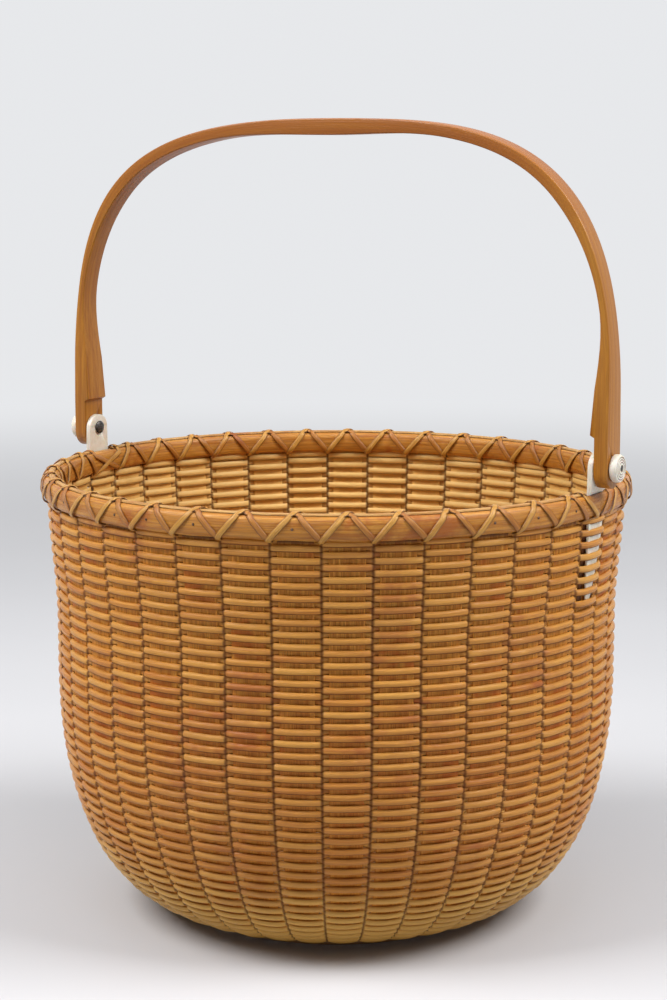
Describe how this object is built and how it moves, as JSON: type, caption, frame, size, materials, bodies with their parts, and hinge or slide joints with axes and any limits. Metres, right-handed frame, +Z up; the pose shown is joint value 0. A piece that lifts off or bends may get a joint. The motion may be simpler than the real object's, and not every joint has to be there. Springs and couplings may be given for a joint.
{
  "type": "round basket with swing handle",
  "caption": "Round open woven basket with a turned wooden base, a lashed hoop rim and a bent wooden handle that swings on bone ears.",
  "frame": {"origin": "centre of the base's flat underside", "axes": "+Z up, +X along the handle's pivot axis, towards the right ear; the front of the picture is towards -Y"},
  "size_m": [0.3428, 0.3244, 0.43],
  "materials": {
    "base_wood": "turned and oiled, satin",
    "stave_wood": "riven strip, satin, straight grain",
    "weaver_cane": "aged cane, glossy skin",
    "hoop_cane": "aged half-round cane, glossy",
    "lashing_cane": "flat cane strand, satin",
    "ear_bone": "polished bone, cream",
    "pin_metal": "darkened metal, dull",
    "handle_wood": "bent and varnished, warm brown"
  },
  "bodies": {
    "basket": {"base_disc": "base_wood", "stave_01": "stave_wood", "stave_02": "stave_wood", "stave_03": "stave_wood", "stave_04": "stave_wood", "stave_05": "stave_wood", "stave_06": "stave_wood", "stave_07": "stave_wood", "stave_08": "stave_wood", "stave_09": "stave_wood", "stave_10": "stave_wood", "stave_11": "stave_wood", "stave_12": "stave_wood", "stave_13": "stave_wood", "stave_14": "stave_wood", "stave_15": "stave_wood", "stave_16": "stave_wood", "stave_17": "stave_wood", "stave_18": "stave_wood", "stave_19": "stave_wood", "stave_20": "stave_wood", "stave_21": "stave_wood", "stave_22": "stave_wood", "stave_23": "stave_wood", "stave_24": "stave_wood", "stave_25": "stave_wood", "stave_26": "stave_wood", "stave_27": "stave_wood", "stave_28": "stave_wood", "stave_29": "stave_wood", "stave_30": "stave_wood", "stave_31": "stave_wood", "stave_32": "stave_wood", "stave_33": "stave_wood", "stave_34": "stave_wood", "stave_35": "stave_wood", "stave_36": "stave_wood", "stave_37": "stave_wood", "stave_38": "stave_wood", "stave_39": "stave_wood", "woven_wall": "weaver_cane", "outer_hoop": "hoop_cane", "inner_hoop": "hoop_cane", "rim_filler_front": "hoop_cane", "rim_filler_back": "hoop_cane", "lashing_front_under": "lashing_cane", "lashing_front_over": "lashing_cane", "lashing_back_under": "lashing_cane", "lashing_back_over": "lashing_cane", "ear_right": "ear_bone", "ear_left": "ear_bone", "pivot_pin_right": "pin_metal", "pivot_pin_left": "pin_metal", "knob_right": "ear_bone", "knob_left": "ear_bone"},
    "handle": {"handle": "handle_wood"}
  },
  "joints": [
    {"name": "handle_swing", "type": "hinge", "parent": "basket", "child": "handle", "pos_m": [0, -0.00623, 0.2542], "axis": [1, 0, 0], "range_deg": [-90, 90]}
  ]
}
